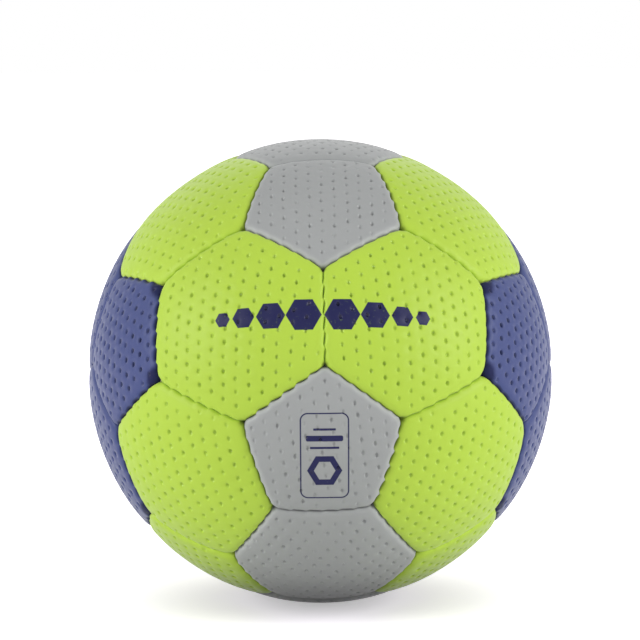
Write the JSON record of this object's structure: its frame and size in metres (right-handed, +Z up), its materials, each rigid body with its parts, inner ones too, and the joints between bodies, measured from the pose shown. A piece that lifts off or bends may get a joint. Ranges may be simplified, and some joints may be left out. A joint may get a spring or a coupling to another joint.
{
  "type": "handball",
  "caption": "Stitched ball for handball: dimpled soft panels in green, grey and blue over foam and cloth, a rubber bladder and a needle valve",
  "frame": {"origin": "the centre of the ball", "axes": "+Z runs up through the middle of a grey hexagon, and the ball rests on the hexagon opposite; -Y is the front, with two green hexagons side by side between two grey pentagons; +X is to the right seen from the front and crosses the middle of a seam"},
  "size_m": [0.1496, 0.15, 0.15],
  "materials": {
    "green_cover": "soft matte synthetic leather with small dimples",
    "grey_cover": "soft matte synthetic leather with small dimples",
    "blue_cover": "soft matte synthetic leather with small dimples",
    "foam": "closed-cell foam",
    "lining": "woven cloth laminate",
    "thread": "waxed twisted thread",
    "bladder": "smooth matte rubber",
    "valve_rubber": "moulded rubber"
  },
  "bodies": {
    "root": {"green_hexagon_1": "green_cover", "green_hexagon_2": "green_cover", "green_hexagon_3": "green_cover", "green_hexagon_4": "green_cover", "green_hexagon_5": "green_cover", "green_hexagon_6": "green_cover", "green_hexagon_7": "green_cover", "green_hexagon_8": "green_cover", "green_hexagon_9": "green_cover", "green_hexagon_10": "green_cover", "green_hexagon_11": "green_cover", "green_hexagon_12": "green_cover", "green_pentagon_1": "green_cover", "green_pentagon_2": "green_cover", "green_pentagon_3": "green_cover", "green_pentagon_4": "green_cover", "grey_hexagon_1": "grey_cover", "grey_hexagon_2": "grey_cover", "grey_hexagon_3": "grey_cover", "grey_pentagon_1": "grey_cover", "grey_pentagon_2": "grey_cover", "grey_pentagon_3": "grey_cover", "grey_pentagon_4": "grey_cover", "valve_panel": "grey_cover", "blue_hexagon_1": "blue_cover", "blue_hexagon_2": "blue_cover", "blue_hexagon_3": "blue_cover", "blue_hexagon_4": "blue_cover", "blue_pentagon_1": "blue_cover", "blue_pentagon_2": "blue_cover", "blue_pentagon_3": "blue_cover", "blue_pentagon_4": "blue_cover", "green_hexagon_foam": "foam", "grey_hexagon_foam": "foam", "blue_hexagon_foam": "foam", "pentagon_foam": "foam", "green_hexagon_lining": "lining", "grey_hexagon_lining": "lining", "blue_hexagon_lining": "lining", "pentagon_lining": "lining", "hexagon_seam_thread": "thread", "pentagon_seam_thread": "thread", "bladder": "bladder", "valve_housing": "valve_rubber", "valve_core": "valve_rubber"}
  },
  "joints": []
}
